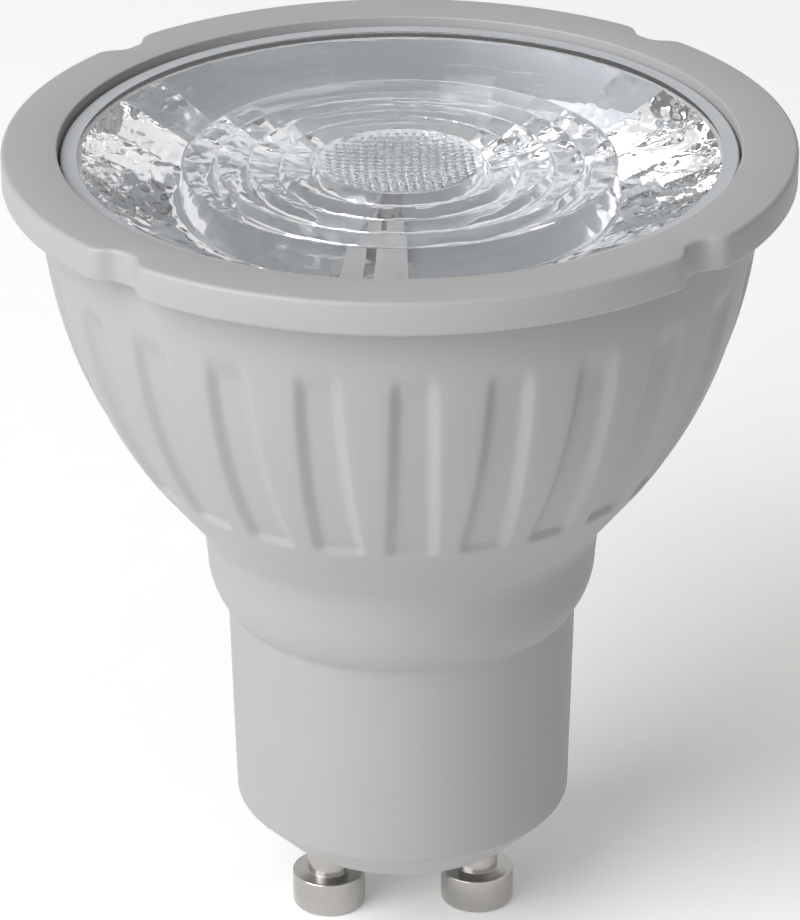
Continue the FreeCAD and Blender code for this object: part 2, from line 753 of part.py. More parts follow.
for bush_wire in bush_wires:
    draw_circle(neck_sketch, bush_wire, -bush_offset, dim.bush_neck_radius)
    draw_circle(bore_sketch, bush_wire, -bush_offset, wire_room)
    draw_outline(channel_sketch, rectangle(
        bush_wire - wire_room, bush_wire + wire_room, -bush_offset - wire_room, bush_back))
extrude(bush, "necks", "Pad", neck_sketch, pan_floor - neck_bottom)
extrude(bush, "bores", "Pocket", bore_sketch, pan_floor - neck_bottom, reverse=True)
extrude(bush, "channels", "Pocket", channel_sketch, wire_level + wire_room - pan_floor, reverse=True)
groove_sketch = new_sketch(bush, "groove_outline", "XY_Plane", bush_top)
groove_left = bush_middle - dim.bush_groove_width / 2
groove_right = bush_middle + dim.bush_groove_width / 2
draw_outline(groove_sketch, rectangle(groove_left, groove_right, bush_front, bush_back))
extrude(bush, "groove", "Pocket", groove_sketch, dim.bush_groove_depth)
keep(bush, "lead_bush")


# Lens: clear moulded optic on the pan's rim. Under its flat plate stand rings of prisms, each
# with a steep inner wall and an outer slope of flat facets, round a domed centre.
lens_root = lens_top - dim.lens_plate_thickness
lens_outer_root = bowl_radius_at(lens_seat, pan_inside_arc) - dim.lens_pan_gap
rings_outside = dim.lens_centre_radius + dim.lens_ring_pitch * dim.lens_ring_count
FACET_TURN = 180


def polygon(name, circumradius, height, turned):
    outline = doc.addObject("Part::RegularPolygon", name)
    bind(outline, "Polygon", dim.lens_facet_count)
    bind(outline, "Circumradius", circumradius)
    outline.Placement = FreeCAD.Placement(
        FreeCAD.Vector(0, 0, 0), FreeCAD.Rotation(FreeCAD.Vector(0, 0, 1), turned))
    return place(outline, z=height)


def make_prism_ring(name, inside, outside, root_height, wall_height, tip_height, turned):
    """A ring whose outer slope has flat facets and whose inner wall is a steep cone."""
    wall_tip = inside + dim.lens_ring_draft
    slope = doc.addObject("Part::Loft", f"{name}_slope")
    slope.Sections = [
        polygon(f"{name}_root", outside, root_height, turned),
        polygon(f"{name}_tip", wall_tip + dim.lens_edge_width, tip_height, turned),
    ]
    slope.Solid = True
    slope.Ruled = True
    wall = doc.addObject("Part::Cone", f"{name}_wall")
    bind(wall, "Radius1", wall_tip)
    bind(wall, "Radius2", inside)
    bind(wall, "Height", wall_height - tip_height)
    place(wall, z=tip_height)
    return cut(name, slope, wall)


lens_shapes = [
    cylinder("lens_flange", mouth_radius - dim.lens_clearance, lens_seat, lens_top),
    make_prism_ring("outer_prism", rings_outside, lens_outer_root, lens_seat, lens_root,
                    lens_seat - dim.lens_outer_depth, 0),
]
for index in range(int(dim.lens_ring_count.value)):
    ring_inside = dim.lens_centre_radius + dim.lens_ring_pitch * index
    ring_outside = ring_inside + dim.lens_ring_pitch - dim.lens_ring_land
    half_facet = FACET_TURN / dim.lens_facet_count.value
    lens_shapes.append(make_prism_ring(
        f"prism_{index + 1}", ring_inside, ring_outside, lens_root, lens_root,
        lens_root - dim.lens_ring_depth, half_facet * (index % 2)))
dome_radius = dim.lens_centre_radius - dim.lens_ring_land
dome_ball_radius = (square(dome_radius) + square(dim.lens_centre_sag)) / (dim.lens_centre_sag * 2)
dome_ball = doc.addObject("Part::Sphere", "dome_ball")
bind(dome_ball, "Radius", dome_ball_radius)
place(dome_ball, z=lens_root + dome_ball_radius - dim.lens_centre_sag)
dome_core = cylinder("dome_core", dome_radius, lens_root - dim.lens_centre_sag, lens_seat)
dome = doc.addObject("Part::Common", "dome")
dome.Base = dome_ball
dome.Tool = dome_core
lens_shapes.append(dome)
keep(join("lens_moulding", lens_shapes), "lens")


# Driver board: glass-epoxy board that stands on the ledges of the guides, between the walls.
driver_board = new_body("driver_board")
driver_sketch = new_sketch(driver_board, "driver_outline", "XZ_Plane")
draw_outline(driver_sketch, [
    Corner(-board_half_width, board_seat, rounding=dim.board_corner_rounding),
    Corner(board_half_width, board_seat, rounding=dim.board_corner_rounding),
    Corner(board_half_width, board_top, rounding=dim.board_corner_rounding),
    Corner(-board_half_width, board_top, rounding=dim.board_corner_rounding),
])
extrude(driver_board, "driver_plate", "Pad", driver_sketch, dim.board_thickness, side="Symmetric")
keep(driver_board, "driver_board")


# Electrolytic capacitors: cans with a crimp groove above the seal, upright beside the board, with
# two leads each that bend into the board.
def make_can(name, radius, height, bottom, side):
    """A can on the front (side -1) or the back (side 1) of the board."""
    axis = (board_face + dim.can_board_gap + radius) * side
    groove = bottom + dim.can_groove_height
    neck = radius - dim.can_groove_depth
    can = new_body(f"{name}_can")
    turn(can, f"{name}_turned", [
        Corner(0, bottom),
        Corner(radius, bottom, rounding=dim.can_edge_rounding),
        Corner(radius, groove - dim.can_groove_depth),
        Corner(neck, groove),
        Corner(radius, groove + dim.can_groove_depth),
        Corner(radius, bottom + height, rounding=dim.can_edge_rounding),
        Corner(0, bottom + height),
    ])
    place(can, y=axis)
    lead_low = bottom - dim.lead_drop
    leads = []
    for hand in (-1, 1):
        x = radius * (hand / 2)
        leads.append(bent_rod(f"{name}_lead", dim.lead_radius, dim.lead_bend, [
            (x, axis, bottom + dim.lead_radius),
            (x, axis, lead_low),
            (x, board_face * side, lead_low),
        ]))
    keep(join(name, [can] + leads), name)


can_bottom = board_seat + dim.lead_drop + dim.part_spacing
make_can("input_capacitor", dim.input_can_radius, dim.input_can_height, can_bottom, -1)


# Film capacitor: dipped block, flat on the back of the board near its foot.
film_bottom = board_seat + dim.part_spacing
film_block = doc.addObject("Part::Box", "film_block")
bind(film_block, "Length", dim.film_width)
bind(film_block, "Width", dim.film_depth)
bind(film_block, "Height", dim.film_height)
place(film_block, -dim.film_width / 2, board_face, film_bottom)
doc.recompute()
film = doc.addObject("Part::Fillet", "film_dipped")
film.Base = film_block
film_edges = []
for number, edge in enumerate(film_block.Shape.Edges, start=1):
    if edge.BoundBox.YMin > board_face.value + dim.film_depth.value / 2:
        film_edges.append((number, dim.film_rounding.value, dim.film_rounding.value))
film.Edges = film_edges
keep(film, "film_capacitor")


# Choke: ferrite drum with its axis across the board, and the copper winding round its hub.
choke_height = film_bottom + dim.film_height + dim.part_spacing + dim.choke_radius
winding_low = dim.choke_flange + dim.winding_clearance
winding_high = dim.choke_height - winding_low


def lay_across_board(body):
    """Turns a body that was turned upright so that it stands out from the back of the board."""
    body.Placement = FreeCAD.Placement(
        FreeCAD.Vector(0, 0, 0), FreeCAD.Rotation(FreeCAD.Vector(1, 0, 0), -90))
    return place(body, y=board_face, z=choke_height)


drum = new_body("choke_core")
turn(drum, "drum_turned", [
    Corner(0, 0),
    Corner(dim.choke_radius, 0),
    Corner(dim.choke_radius, dim.choke_flange),
    Corner(dim.choke_hub_radius, dim.choke_flange),
    Corner(dim.choke_hub_radius, dim.choke_height - dim.choke_flange),
    Corner(dim.choke_radius, dim.choke_height - dim.choke_flange),
    Corner(dim.choke_radius, dim.choke_height),
    Corner(0, dim.choke_height),
])
keep(lay_across_board(drum), "choke_core")
winding_inside = dim.choke_hub_radius + dim.winding_clearance
winding_outside = dim.choke_radius - dim.winding_inset
winding = new_body("choke_winding")
turn(winding, "winding_turned", [
    Corner(winding_inside, winding_low),
    Corner(winding_outside, winding_low),
    Corner(winding_outside, winding_high),
    Corner(winding_inside, winding_high),
])
keep(lay_across_board(winding), "choke_winding")
output_bottom = choke_height + dim.choke_radius + dim.part_spacing + dim.lead_drop
make_can("output_capacitor", dim.output_can_radius, dim.output_can_height, output_bottom, 1)


# Surface-mounted pieces on the front of the board: a block with bent terminals on two sides.
def make_flat_pack(name, length, width, height, pitch, pairs, x, z):
    """A block whose terminals leave at half its height and bend down to the board."""
    pack = new_body(name)
    block_sketch = new_sketch(pack, f"{name}_outline", "XZ_Plane", board_face)
    draw_outline(block_sketch, rectangle(x - length / 2, x + length / 2, z - width / 2, z + width / 2))
    extrude(pack, f"{name}_block", "Pad", block_sketch, height)
    first = x - pitch * ((pairs - 1) / 2)
    middle = height / 2
    thick = dim.terminal_thickness
    for index in range(pairs):
        terminal_x = first + pitch * index
        left = terminal_x - dim.terminal_width / 2
        right = terminal_x + dim.terminal_width / 2
        for side in (-1, 1):
            edge = z + width * (side / 2)
            tip = edge + dim.terminal_reach * side
            low, high = (tip, edge) if side < 0 else (edge, tip)
            shank = edge + thick * (2 * side)
            shank_low, shank_high = (shank, edge) if side < 0 else (edge, shank)
            foot_sketch = new_sketch(pack, f"{name}_foot", "XZ_Plane", board_face)
            draw_outline(foot_sketch, rectangle(left, right, low, high))
            extrude(pack, f"{name}_terminal", "Pad", foot_sketch, thick)
            shank_sketch = new_sketch(pack, f"{name}_shank", "XZ_Plane", board_face)
            draw_outline(shank_sketch, rectangle(left, right, shank_low, shank_high))
            extrude(pack, f"{name}_bend", "Pad", shank_sketch, middle)
    keep(pack, name)


surface_x = (board_half_width + dim.input_can_radius) / 2
guide_top = board_seat + dim.guide_height
rectifier_z = guide_top + dim.part_spacing + dim.terminal_reach + dim.rectifier_length / 2
make_flat_pack("bridge_rectifier", dim.rectifier_width, dim.rectifier_length, dim.rectifier_height,
               dim.rectifier_pitch, 2, surface_x, rectifier_z)
chip_z = board_top - dim.part_spacing - dim.terminal_reach - dim.chip_width / 2
make_flat_pack("driver_chip", dim.chip_length, dim.chip_width, dim.chip_height,
               dim.chip_pitch, 4, -surface_x, chip_z)


# Leads from the pins: a fusible resistor on the left, a plain wire on the right. Both leave the
# hollow pin end, lean clear of the board's foot, rise beside it and bend into its face.
lead_y = -(board_face + dim.resistor_radius + dim.part_spacing)
lean_start = crimp_top + dim.lead_bend / 2
lean_end = lean_start - lead_y


def pin_lead(name, x, top):
    return bent_rod(name, dim.lead_radius, dim.lead_bend, [
        (x, 0, rivet_top),
        (x, 0, lean_start),
        (x, lead_y, lean_end),
        (x, lead_y, top),
        (x, -board_face, top),
    ])


resistor_bottom = lean_end + dim.part_spacing
resistor_top = resistor_bottom + dim.resistor_length
barrel = new_body("resistor_barrel")
turn(barrel, "barrel_turned", [
    Corner(0, resistor_bottom),
    Corner(dim.resistor_radius, resistor_bottom, rounding=dim.resistor_end_rounding),
    Corner(dim.resistor_radius, resistor_top, rounding=dim.resistor_end_rounding),
    Corner(0, resistor_top),
])
place(barrel, -pin_offset, lead_y)
resistor_lead = pin_lead("resistor_lead", -pin_offset, resistor_top + dim.part_spacing + dim.lead_bend)
keep(join("resistor", [barrel, resistor_lead]), "fusible_resistor")
keep(pin_lead("wire_to_pin", pin_offset, lean_end + dim.part_spacing + dim.lead_bend), "pin_wire")


# Wires to the light source: soldered to the driver board near its top, forwards and up through
# the bush, and back over the light source's board to its pads.
def make_led_wire(name, start_x, bush_x):
    solder_y = -(board_face + dim.wire_radius)
    rise_y = -bush_offset
    keep(bent_rod(name, dim.wire_radius, dim.wire_bend, [
        (start_x, solder_y, board_top - dim.wire_solder_length),
        (start_x, solder_y, board_top),
        (bush_x, rise_y, neck_bottom - dim.wire_bend * 2),
        (bush_x, rise_y, wire_level),
        (bush_x, -dim.wire_pad_offset, wire_level),
    ]), name)


make_led_wire("led_wire_white", -dim.wire_spacing / 2, bush_wires[0])
make_led_wire("led_wire_grey", dim.wire_spacing / 2, bush_wires[1])

# Every feature has to be sound, and every cut has to have taken something away.
doc.recompute()
for item in doc.Objects:
    if "Invalid" in item.State or "Error" in item.State:
        raise RuntimeError(f"{item.Name} failed: {item.State}")
    if item.TypeId == "PartDesign::Pocket":
        if item.BaseFeature.Shape.Volume - item.Shape.Volume <= 0:
            raise RuntimeError(f"{item.Name} cuts nothing")
for item in nodes:
    if item.Shape.isNull() or not item.Shape.isValid():
        raise RuntimeError(f"{item.Label} has no valid shape")

os.makedirs("parts", exist_ok=True)
for item in nodes:
    item.Shape.exportStep(f"parts/{item.Label}.step")
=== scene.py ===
import bmesh
import bpy
import functools
import math
import random
from mathutils import Matrix, Vector


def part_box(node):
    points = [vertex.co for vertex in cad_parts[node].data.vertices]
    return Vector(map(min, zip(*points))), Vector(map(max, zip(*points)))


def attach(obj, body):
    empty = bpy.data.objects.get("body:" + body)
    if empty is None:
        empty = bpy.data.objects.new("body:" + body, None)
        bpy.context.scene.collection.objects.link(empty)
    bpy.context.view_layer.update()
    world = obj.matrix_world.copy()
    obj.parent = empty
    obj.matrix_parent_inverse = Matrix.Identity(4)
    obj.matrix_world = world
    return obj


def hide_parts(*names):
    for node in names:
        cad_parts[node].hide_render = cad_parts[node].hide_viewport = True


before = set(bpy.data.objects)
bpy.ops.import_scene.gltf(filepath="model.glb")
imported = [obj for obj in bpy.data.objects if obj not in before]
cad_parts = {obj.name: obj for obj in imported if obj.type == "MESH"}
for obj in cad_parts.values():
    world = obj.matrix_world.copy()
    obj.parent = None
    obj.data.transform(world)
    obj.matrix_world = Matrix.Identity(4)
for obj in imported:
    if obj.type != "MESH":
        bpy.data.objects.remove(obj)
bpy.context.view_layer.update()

# Housing: the bulb's one-piece body, from the notched rim down to the base that holds the pins.
# Pale grey polycarbonate, injection moulded. The flutes of the bowl and the four grip notches of
# the rim are part of the mould, so their edges are soft.
MM = 0.001
housing_low, housing_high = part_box("housing")
base_bottom = housing_low.z / MM
rim_top = housing_high.z / MM
rim_radius = housing_high.x / MM
floor_thickness = 1.6
housing_wall = 1.4
base_foot_radius = 11.02
base_radius = 11.37
base_chamfer = 2.45
base_rounding = 0.5
inner_chamfer = 1.6
collar_bottom = base_bottom + 16.6
collar_radius = 12.65
collar_curve = 3.4
collar_crease = 0.8
collar_step = collar_radius - base_radius
collar_arc = (collar_step ** 2 + collar_curve ** 2) / (2 * collar_step)
collar_top_radius = 12.92
collar_blend = 3.0
cone_bottom = collar_bottom + 5.95
shoulder_radius = 16.45
shoulder = cone_bottom + 4.45
flange_bottom = rim_top - 2.21
flange_crease = 0.3
flange_rounding = 0.25
rim_rounding = 0.3
mouth_rounding = 0.12
bowl_top_radius = rim_radius - 2.27
mouth_radius = rim_radius - 3.53
lens_seat = rim_top - 2.1
bowl_widening = bowl_top_radius - shoulder_radius
bowl_arc = (bowl_widening ** 2 + (flange_bottom - shoulder) ** 2) / (2 * bowl_widening)
bowl_centre = bowl_top_radius - bowl_arc

flute_count = 24
flute_depth = 0.5
flute_wall = 0.9
flute_foot = shoulder + 0.55
flute_foot_rise = 0.9
flute_top = flute_foot + 15.4
flute_runout = 2.2
flute_foot_width = 2.7
flute_top_width = 2.3

notch_every = 6
notch_depth = 1.0
notch_rounding = 1.5
notch_floor_half = 0.25
notch_full_radius = rim_radius - 0.35
notch_sweep = math.acos(1 - notch_depth / 2 / notch_rounding)
notch_half = notch_floor_half + 2 * notch_rounding * math.sin(notch_sweep)

pin_offset = 5.0
pin_hole_radius = 1.45
floor_opening = 7.6

pan_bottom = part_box("heat_sink_pan")[0].z / MM
rib_count = 6
rib_half_width = 0.6
rib_bearing = 2.6
rib_bottom = pan_bottom - 5.0
rib_root = 0.4
board_low, board_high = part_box("driver_board")
guide_inside = board_high.x / MM - 1.3
guide_outside = base_foot_radius - housing_wall / 2
guide_slot = board_high.y / MM + 0.12
guide_wall = 0.9
guide_ledge_height = 1.0
guide_ledge = board_low.z / MM - guide_ledge_height
guide_top = board_low.z / MM + 8.5


def bowl_radius(height, inset=0):
    return bowl_centre + math.sqrt((bowl_arc - inset) ** 2 - (flange_bottom - height) ** 2)


def spread(start, end, step):
    """Evenly spaced numbers from start to end, about a step apart."""
    count = max(1, round((end - start) / step))
    return [start + (end - start) * index / count for index in range(count + 1)]


def smooth_step(share):
    share = min(1, max(0, share))
    return share * share * (3 - 2 * share)


def draw_section(corners):
    """One chain of edges through (radius, height) corners in mm. A third number rounds a corner."""
    bm = bmesh.new()
    points = [bm.verts.new((corner[0] * MM, 0, corner[1] * MM)) for corner in corners]
    for first, second in zip(points, points[1:]):
        bm.edges.new((first, second))
    roundings = []
    for before, point, after, corner in zip(points, points[1:], points[2:], corners[1:]):
        if len(corner) > 2:
            half_angle = (before.co - point.co).angle(after.co - point.co) / 2
            roundings.append((point, corner[2] * MM / math.tan(half_angle)))
    for point, offset in roundings:
        bmesh.ops.bevel(bm, geom=[point], offset=offset, offset_type="OFFSET", segments=4,
                        profile=0.5, affect="VERTICES", material=-1)
    return bm


def turn_section(bm, steps):
    """Spins the section round the bulb's axis into a closed skin."""
    bmesh.ops.spin(bm, geom=bm.verts[:] + bm.edges[:], cent=(0, 0, 0), axis=(0, 0, 1),
                   angle=math.tau, steps=steps, use_merge=True)
    bmesh.ops.remove_doubles(bm, verts=bm.verts[:], dist=1e-7)
    bmesh.ops.recalc_face_normals(bm, faces=bm.faces[:])


def add_block(bm, low, high):
    """Adds a box between two corners in mm, and returns its corner points."""
    low = Vector(low) * MM
    high = Vector(high) * MM
    placed = Matrix.Translation((low + high) / 2) @ Matrix.Diagonal((*(high - low), 1))
    return bmesh.ops.create_cube(bm, size=1, matrix=placed)["verts"]


def make_piece(name, bm, material, smooth_angle=40):
    """A finished piece at the origin, smooth but for edges sharper than smooth_angle in degrees."""
    sharp = math.radians(smooth_angle)
    for face in bm.faces:
        face.smooth = True
    for edge in bm.edges:
        edge.smooth = len(edge.link_faces) == 2 and edge.calc_face_angle() < sharp
    mesh = bpy.data.meshes.new(name)
    bm.to_mesh(mesh)
    bm.free()
    mesh.materials.append(material)
    piece = bpy.data.objects.new(name, mesh)
    bpy.context.scene.collection.objects.link(piece)
    return piece


def linear(colour):
    """An sRGB hex colour as linear RGBA."""
    shares = [int(colour[index:index + 2], 16) / 255 for index in (1, 3, 5)]
    return tuple(s / 12.92 if s <= 0.04045 else ((s + 0.055) / 1.055) ** 2.4 for s in shares) + (1.0,)


def add_node(material, kind, inputs=None, **settings):
    """Adds a node. An input is a value, or a (node, output) pair that is linked to it."""
    tree = material.node_tree
    node = tree.nodes.new(kind)
    for name, value in settings.items():
        setattr(node, name, value)
    for name, value in (inputs or {}).items():
        if isinstance(value, tuple) and isinstance(value[0], bpy.types.Node):
            tree.links.new(value[0].outputs[value[1]], node.inputs[name])
        else:
            node.inputs[name].default_value = value
    return node


def new_material(name):
    material = bpy.data.materials.new(name)
    material.use_nodes = True
    material.node_tree.nodes.clear()
    return material


def grained_material(name, dark, light, cloud_mm, grain_mm, gloss, relief_mm, finish=None):
    """A tint that drifts over cloud_mm, under a finer grain that lifts the skin and spreads the gloss."""
    material = new_material(name)
    place = add_node(material, "ShaderNodeTexCoord")
    clouds = add_node(material, "ShaderNodeTexNoise", {
        "Vector": (place, "Object"), "Scale": 1 / (cloud_mm * MM), "Detail": 2.0})
    tint = add_node(material, "ShaderNodeMix", {
        0: (clouds, "Fac"), 6: linear(dark), 7: linear(light)}, data_type="RGBA")
    grain = add_node(material, "ShaderNodeTexNoise", {
        "Vector": (place, "Object"), "Scale": 1 / (grain_mm * MM), "Detail": 3.0})
    spread_gloss = add_node(material, "ShaderNodeMapRange", {
        "Value": (grain, "Fac"), "To Min": gloss[0], "To Max": gloss[1]})
    relief = add_node(material, "ShaderNodeBump", {
        "Height": (grain, "Fac"), "Distance": relief_mm * MM})
    shader = add_node(material, "ShaderNodeBsdfPrincipled", {
        "Base Color": (tint, 2), "Roughness": (spread_gloss, "Result"), "Normal": (relief, "Normal"),
        **(finish or {})})
    add_node(material, "ShaderNodeOutputMaterial", {"Surface": (shader, "BSDF")})
    return material


# Etched polycarbonate: a pale, faintly warm grey with a satin skin. The etching scatters the
# highlight, and the melt's flow leaves the colour very slightly cloudy. The real etching is finer
# than 0.1 mm, so it is drawn coarser to show.
plastic = grained_material(
    "etched_polycarbonate", "#a2a1a1", "#a7a6a6",
    cloud_mm=9.0, grain_mm=0.3, gloss=(0.44, 0.52), relief_mm=0.0008, finish={"IOR": 1.58})

# The skin has close rows where a flute starts and runs out, and wider ones between.
columns_per_half = 12
column_count = flute_count * columns_per_half * 2
foot_row = 0.1
runout_row = 0.3
wide_row = 0.9
bowl_rows = [shoulder + 0.35]
bowl_rows += spread(flute_foot - foot_row, flute_foot + flute_foot_rise + foot_row, foot_row)
bowl_rows += spread(flute_foot + 1.2, flute_top - flute_runout, wide_row)
bowl_rows += spread(flute_top - flute_runout + runout_row, flute_top + runout_row, runout_row)
bowl_rows += spread(flute_top + 1.2, flange_bottom - 0.8, wide_row)
inner_foot = base_bottom + floor_thickness
section = [
    (floor_opening, base_bottom),
    (base_foot_radius - base_chamfer, base_bottom, base_rounding),
    (base_foot_radius, base_bottom + base_chamfer, base_rounding),
    (base_radius, collar_bottom, collar_crease),
]
for rise in spread(0.4, collar_curve, 0.4):
    bulge = math.sqrt(collar_arc ** 2 - (collar_curve - rise) ** 2)
    section.append((collar_radius - collar_arc + bulge, collar_bottom + rise))
section += [
    (collar_top_radius, cone_bottom, collar_blend),
    (shoulder_radius, shoulder),
]
section += [(bowl_radius(height), height) for height in bowl_rows]
section += [
    (bowl_top_radius, flange_bottom, flange_crease),
    (rim_radius, flange_bottom, flange_rounding),
    (rim_radius, rim_top, rim_rounding),
    (mouth_radius, rim_top, mouth_rounding),
    (mouth_radius, lens_seat),
]
section += [(bowl_radius(height, housing_wall), height) for height in spread(lens_seat, shoulder, -2.5)]
section += [
    (collar_top_radius - housing_wall, cone_bottom),
    (collar_radius - housing_wall, collar_bottom + collar_curve),
    (base_radius - housing_wall, collar_bottom),
    (base_foot_radius - housing_wall, inner_foot + inner_chamfer),
    (base_foot_radius - housing_wall - inner_chamfer, inner_foot),
    (floor_opening, inner_foot),
]
housing_mesh = draw_section(section)
turn_section(housing_mesh, column_count)

flute_shares = [0, 1 / 3, 2 / 3]
wall_shares = [index / 6 for index in range(7)]
notch_arc = [notch_rounding * math.sin(notch_sweep * index / 4) for index in range(5)]
notch_columns = [0, notch_floor_half / 2]
notch_columns += [notch_floor_half + step for step in notch_arc]
notch_columns += [notch_half - step for step in reversed(notch_arc[:4])]
half_pitch = math.pi / flute_count


@functools.cache
def flute_columns(height):
    """Angles of one half flute's columns: its floor, its wall and half the land beside it."""
    height = min(flute_top, max(flute_foot, height))
    share = (height - flute_foot) / (flute_top - flute_foot)
    middle = (flute_foot_width + (flute_top_width - flute_foot_width) * share) / 2
    radius = bowl_radius(height)
    foot = (middle - flute_wall / 2) / radius
    edge = (middle + flute_wall / 2) / radius
    angles = [foot * step for step in flute_shares]
    angles += [foot + (edge - foot) * step for step in wall_shares]
    angles += [edge + (half_pitch - edge) * step / 3 for step in (1, 2, 3)]
    return angles


def rim_columns():
    """Angles of the columns through half a notch, and on to the next flute's half."""
    angles = [step / rim_radius for step in notch_columns]
    angles += [angles[-1] + (half_pitch - angles[-1]) * step / 2 for step in (1, 2)]
    return angles


def notch_cut(distance):
    """How deep the notch is at this distance from its middle: two arcs between floor and rim."""
    if distance >= notch_half:
        return 0
    if distance <= notch_floor_half:
        return notch_depth
    along = distance - notch_floor_half
    turn = notch_rounding * math.sin(notch_sweep)
    if along < turn:
        return notch_depth - notch_rounding + math.sqrt(notch_rounding ** 2 - along ** 2)
    return notch_rounding - math.sqrt(notch_rounding ** 2 - (2 * turn - along) ** 2)


# Each point moves to its column, then inwards where it lies in a flute or a notch. Inside the bowl
# the columns follow the rim's and the wall stays round.
rim_angles = rim_columns()
wall_foot = len(flute_shares)
wall_edge = wall_foot + len(wall_shares) - 1
for point in housing_mesh.verts:
    radius = math.hypot(point.co.x, point.co.y) / MM
    height = round(point.co.z / MM, 4)
    azimuth = math.atan2(point.co.y, point.co.x)
    flute = round(azimuth / (2 * half_pitch))
    offset = azimuth - flute * 2 * half_pitch
    column = round(abs(offset) / half_pitch * columns_per_half)
    is_inside = height < lens_seat + 0.01 and radius < bowl_radius(max(height, shoulder)) - housing_wall / 2
    to_rim = 1 if is_inside else smooth_step((height - flute_top) / (flange_bottom - flute_top))
    angle = flute_columns(height)[column] * (1 - to_rim) + rim_angles[column] * to_rim
    if not is_inside and flute_foot - 0.2 < height < flute_top + 0.2:
        angles = flute_columns(height)
        wall_angle = angles[wall_edge] - angles[wall_foot]
        across = 1 - smooth_step((angle - angles[wall_foot]) / wall_angle)
        foot = smooth_step((height - flute_foot) / flute_foot_rise)
        fade = smooth_step((flute_top - height) / flute_runout)
        radius -= flute_depth * across * foot * fade
    if height > flange_bottom - 0.01 and flute % notch_every == notch_every // 2:
        inner_end = mouth_radius if height > flange_bottom + 1 else bowl_top_radius + flange_crease
        share = min(1, max(0, (radius - inner_end) / (notch_full_radius - inner_end)))
        radius -= notch_cut(angle * rim_radius) * share
    angle = flute * 2 * half_pitch + math.copysign(angle, offset)
    point.co.x = radius * math.cos(angle) * MM
    point.co.y = radius * math.sin(angle) * MM

# The floor is filled in around the two pin holes, above and below, and the holes' walls join the two.
# The edges are taken in order round the axis and the holes, so that the fill is the same each time.
hole_rings = []
for height in (base_bottom, inner_foot):
    edges = [edge for edge in housing_mesh.edges
             if edge.is_boundary and abs(edge.verts[0].co.z / MM - height) < 0.01]
    edges.sort(key=lambda edge: math.atan2(*(edge.verts[0].co + edge.verts[1].co).yx))
    rings = []
    for side in (-1, 1):
        ring = bmesh.ops.create_circle(
            housing_mesh, cap_ends=False, segments=40, radius=pin_hole_radius * MM,
            matrix=Matrix.Translation((side * pin_offset * MM, 0, height * MM)))
        ring_edges = [edge for point in ring["verts"] for edge in point.link_edges]
        rings.append(list(dict.fromkeys(ring_edges)))
    bmesh.ops.triangle_fill(housing_mesh, use_beauty=True, edges=edges + rings[0] + rings[1])
    hole_rings.append(rings)
for lower, upper in zip(*hole_rings):
    bmesh.ops.bridge_loops(housing_mesh, edges=lower + upper)

rib_outside = bowl_radius(pan_bottom, housing_wall) + rib_root
rib_foot = bowl_radius(rib_bottom, housing_wall)
for index in range(rib_count):
    rib = add_block(housing_mesh, (rib_outside - rib_bearing, -rib_half_width, rib_bottom),
                    (rib_outside, rib_half_width, pan_bottom))
    for point in rib:
        if point.co.z / MM < rib_bottom + 0.01:
            is_root = point.co.x / MM > rib_outside - 0.01
            point.co.x = (rib_foot + (rib_root if is_root else 0)) * MM
    turned = Matrix.Rotation(math.tau * index / rib_count, 3, "Z")
    bmesh.ops.rotate(housing_mesh, verts=rib, cent=(0, 0, 0), matrix=turned)
for inner, outer in ((-guide_outside, -guide_inside), (guide_inside, guide_outside)):
    for near, far in ((-guide_slot - guide_wall, -guide_slot), (guide_slot, guide_slot + guide_wall)):
        add_block(housing_mesh, (inner, near, guide_ledge), (outer, far, guide_top))
    add_block(housing_mesh, (inner, -guide_slot, guide_ledge),
              (outer, guide_slot, guide_ledge + guide_ledge_height))
bmesh.ops.recalc_face_normals(housing_mesh, faces=housing_mesh.faces[:])
housing = make_piece("housing_moulding", housing_mesh, plastic, smooth_angle=50)
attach(housing, "root")
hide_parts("housing")

# Contact pins: two turned brass pins with a wide foot that locks under the lampholder's contacts.
# Nickel plated and polished. Each is riveted over inside the floor, and its hollow end takes a lead.
foot_radius = 2.45
foot_height = 2.5
foot_edge = 0.12
neck_radius = 1.4
rivet_radius = 2.0
rivet_height = 0.6
crimp_radius = 0.95
crimp_bore = 0.35
crimp_height = 1.4
foot_rounding = 0.3
neck_crease = 0.05
rivet_rounding = 0.2
crimp_rounding = 0.1

# Polished nickel plate over brass: a warm silver mirror with faint rings left by the lathe tool, and
# hairline wear that spreads the reflection a little. Real rings are about 0.1 mm apart, and are drawn
# wider to show. A wave texture has 20 / tau bands to a unit of scale.
nickel = new_material("polished_nickel_plate")
place = add_node(nickel, "ShaderNodeTexCoord")
lathe_ring_mm = 0.628
wear_mm = 0.6
rings = add_node(nickel, "ShaderNodeTexWave", {
    "Vector": (place, "Object"), "Scale": math.tau / (lathe_ring_mm * MM) / 20, "Distortion": 0.6,
    "Detail": 1.0}, bands_direction="Z")
wear = add_node(nickel, "ShaderNodeTexNoise", {
    "Vector": (place, "Object"), "Scale": 1 / (wear_mm * MM), "Detail": 4.0})
polish = add_node(nickel, "ShaderNodeMapRange", {
    "Value": (wear, "Fac"), "To Min": 0.14, "To Max": 0.28})
plate = add_node(nickel, "ShaderNodeMix", {
    0: (wear, "Fac"), 6: linear("#afadaa"), 7: linear("#bcbab7")}, data_type="RGBA")
relief = add_node(nickel, "ShaderNodeBump", {
    "Height": (rings, "Fac"), "Strength": 0.05, "Distance": 0.02 * MM})
shader = add_node(nickel, "ShaderNodeBsdfPrincipled", {
    "Base Color": (plate, 2), "Metallic": 1.0, "Roughness": (polish, "Result"),
    "Normal": (relief, "Normal")})
add_node(nickel, "ShaderNodeOutputMaterial", {"Surface": (shader, "BSDF")})

